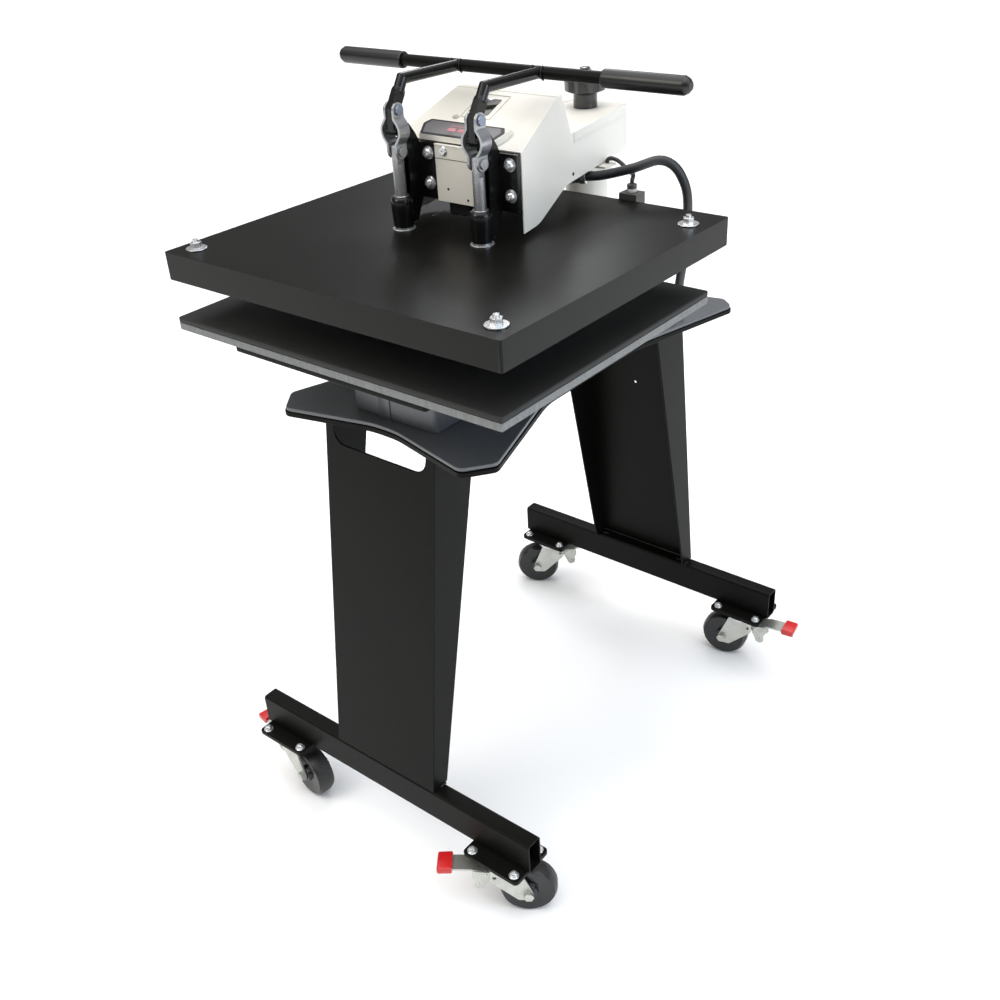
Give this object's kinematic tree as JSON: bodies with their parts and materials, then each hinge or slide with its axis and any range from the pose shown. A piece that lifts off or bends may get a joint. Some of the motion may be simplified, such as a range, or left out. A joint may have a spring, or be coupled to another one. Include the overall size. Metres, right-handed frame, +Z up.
{
  "type": "heat press",
  "caption": "Swing-away heat press on a caster stand: heated upper platen pushed down by a two-arm toggle handle onto a padded table.",
  "frame": {"origin": "on the floor, under the middle of the bounding box", "axes": "+Z up, +X to the operator's right, the operator stands at -Y facing +Y"},
  "size_m": [0.6104, 0.8119, 1.0598],
  "materials": {
    "black_paint": "satin black powder coat",
    "black_texture": "fine-textured semi-gloss black powder coat",
    "hammertone": "grey hammertone enamel",
    "cream_paint": "warm off-white powder coat",
    "zinc": "bright zinc plate",
    "steel": "polished steel",
    "aluminium": "sawn and milled aluminium plate",
    "silicone": "matte charcoal silicone sponge",
    "vinyl": "black vinyl",
    "wheel_plastic": "glossy black nylon",
    "membrane": "matte grey membrane overlay",
    "grey_plastic": "grey moulded plastic"
  },
  "bodies": {
    "stand": {"foot_tube_front": "black_paint", "foot_tube_rear": "black_paint", "leg_front": "black_paint", "leg_rear": "black_paint", "stand_top_plate": "black_paint", "base_plate": "hammertone", "table_support": "hammertone", "table_stiffener": "black_paint", "lower_table": "aluminium", "silicone_pad": "silicone", "swing_post": "cream_paint", "thrust_washer": "grey_plastic", "hose_gland_base": "zinc", "hose": "vinyl"},
    "head": {"head_arm": "cream_paint", "hood": "cream_paint", "front_panel": "cream_paint", "control_panel": "membrane", "limit_switch": "black_paint", "toggle_bracket_left": "black_paint", "toggle_bracket_right": "black_paint", "pivot_pin_left": "zinc", "pivot_pin_right": "zinc", "hose_gland_head": "zinc"},
    "handle": {"crank_arm_left": "black_paint", "crank_arm_right": "black_paint", "handle_bar": "black_paint", "handle_grip_left": "vinyl", "handle_grip_right": "vinyl", "crank_pin_left": "zinc", "crank_pin_right": "zinc"},
    "toggle_links": {"toggle_strap_left_inner": "steel", "toggle_strap_left_outer": "steel", "toggle_strap_right_inner": "steel", "toggle_strap_right_outer": "steel"},
    "upper_platen": {"push_rod_left": "steel", "push_rod_right": "steel", "platen_cover": "black_texture", "heat_platen": "aluminium", "platen_bolt_front_left": "zinc", "platen_bolt_front_right": "zinc", "platen_bolt_rear_left": "zinc", "platen_bolt_rear_right": "zinc", "terminal_box": "grey_plastic", "cable": "vinyl"},
    "pressure_adjuster": {"pressure_knob": "vinyl", "pressure_spindle": "steel"},
    "switch_wire": {"switch_lever": "zinc"},
    "caster_fl": {"caster_fork_fl": "zinc"},
    "wheel_fl": {"caster_wheel_fl": "wheel_plastic"},
    "brake_fl": {"caster_brake_fl": "zinc"},
    "caster_fr": {"caster_fork_fr": "zinc"},
    "wheel_fr": {"caster_wheel_fr": "wheel_plastic"},
    "brake_fr": {"caster_brake_fr": "zinc"},
    "caster_rl": {"caster_fork_rl": "zinc"},
    "wheel_rl": {"caster_wheel_rl": "wheel_plastic"},
    "brake_rl": {"caster_brake_rl": "zinc"},
    "caster_rr": {"caster_fork_rr": "zinc"},
    "wheel_rr": {"caster_wheel_rr": "wheel_plastic"},
    "brake_rr": {"caster_brake_rr": "zinc"}
  },
  "joints": [
    {"name": "head_swing", "type": "hinge", "parent": "stand", "child": "head", "pos_m": [0, 0.1736, 0.885], "axis": [0, 0, 1], "range_deg": [0, 100], "deforming": ["hose"]},
    {"name": "handle_swing", "type": "hinge", "parent": "head", "child": "handle", "pos_m": [0, -0.1364, 0.9956], "axis": [1, 0, 0], "range_deg": [0, 180]},
    {"name": "toggle_link_turn", "type": "hinge", "parent": "handle", "child": "toggle_links", "pos_m": [0, -0.1364, 1.019], "axis": [1, 0, 0], "range_deg": [-180, 0]},
    {"name": "platen_press", "type": "slide", "parent": "head", "child": "upper_platen", "axis": [0, 0, -1], "range_m": [0, 0.0468], "deforming": ["cable"]},
    {"name": "pressure_turn", "type": "hinge", "parent": "head", "child": "pressure_adjuster", "pos_m": [0, 0.1736, 0.968], "axis": [0, 0, 1], "continuous": true},
    {"name": "switch_lever_tilt", "type": "hinge", "parent": "head", "child": "switch_wire", "pos_m": [-0.0245, -0.0844, 0.886], "axis": [0, 1, 0], "range_deg": [0, 6]},
    {"name": "swivel_fl", "type": "hinge", "parent": "stand", "child": "caster_fl", "pos_m": [-0.2085, -0.337, 0.09], "axis": [0, 0, 1], "continuous": true},
    {"name": "roll_fl", "type": "hinge", "parent": "caster_fl", "child": "wheel_fl", "pos_m": [-0.17887, -0.34169, 0.04], "axis": [-0.1564, -0.9877, 0], "continuous": true},
    {"name": "brake_pedal_fl", "type": "hinge", "parent": "caster_fl", "child": "brake_fl", "pos_m": [-0.2243, -0.3345, 0.0735], "axis": [-0.1564, -0.9877, 0], "range_deg": [0, 12]},
    {"name": "swivel_fr", "type": "hinge", "parent": "stand", "child": "caster_fr", "pos_m": [0.2085, -0.337, 0.09], "axis": [0, 0, 1], "continuous": true},
    {"name": "roll_fr", "type": "hinge", "parent": "caster_fr", "child": "wheel_fr", "pos_m": [0.23258, -0.31911, 0.04], "axis": [0.5962, -0.8028, 0], "continuous": true},
    {"name": "brake_pedal_fr", "type": "hinge", "parent": "caster_fr", "child": "brake_fr", "pos_m": [0.19565, -0.34654, 0.0735], "axis": [0.5962, -0.8028, 0], "range_deg": [0, 12]},
    {"name": "swivel_rl", "type": "hinge", "parent": "stand", "child": "caster_rl", "pos_m": [-0.2085, 0.3426, 0.09], "axis": [0, 0, 1], "continuous": true},
    {"name": "roll_rl", "type": "hinge", "parent": "caster_rl", "child": "wheel_rl", "pos_m": [-0.23394, 0.3267, 0.04], "axis": [-0.5299, 0.848, 0], "continuous": true},
    {"name": "brake_pedal_rl", "type": "hinge", "parent": "caster_rl", "child": "brake_rl", "pos_m": [-0.19493, 0.35108, 0.0735], "axis": [-0.5299, 0.848, 0], "range_deg": [0, 12]},
    {"name": "swivel_rr", "type": "hinge", "parent": "stand", "child": "caster_rr", "pos_m": [0.2085, 0.3426, 0.09], "axis": [0, 0, 1], "continuous": true},
    {"name": "roll_rr", "type": "hinge", "parent": "caster_rr", "child": "wheel_rr", "pos_m": [0.17879, 0.33842, 0.04], "axis": [-0.1392, 0.9903, 0], "continuous": true},
    {"name": "brake_pedal_rr", "type": "hinge", "parent": "caster_rr", "child": "brake_rr", "pos_m": [0.22434, 0.34483, 0.0735], "axis": [-0.1392, 0.9903, 0], "range_deg": [0, 12]}
  ],
  "couplings": [
    {"joint": "platen_press", "follows": "handle_swing", "m_per_rad": 0.01489},
    {"joint": "toggle_link_turn", "follows": "handle_swing", "ratio": -1}
  ]
}
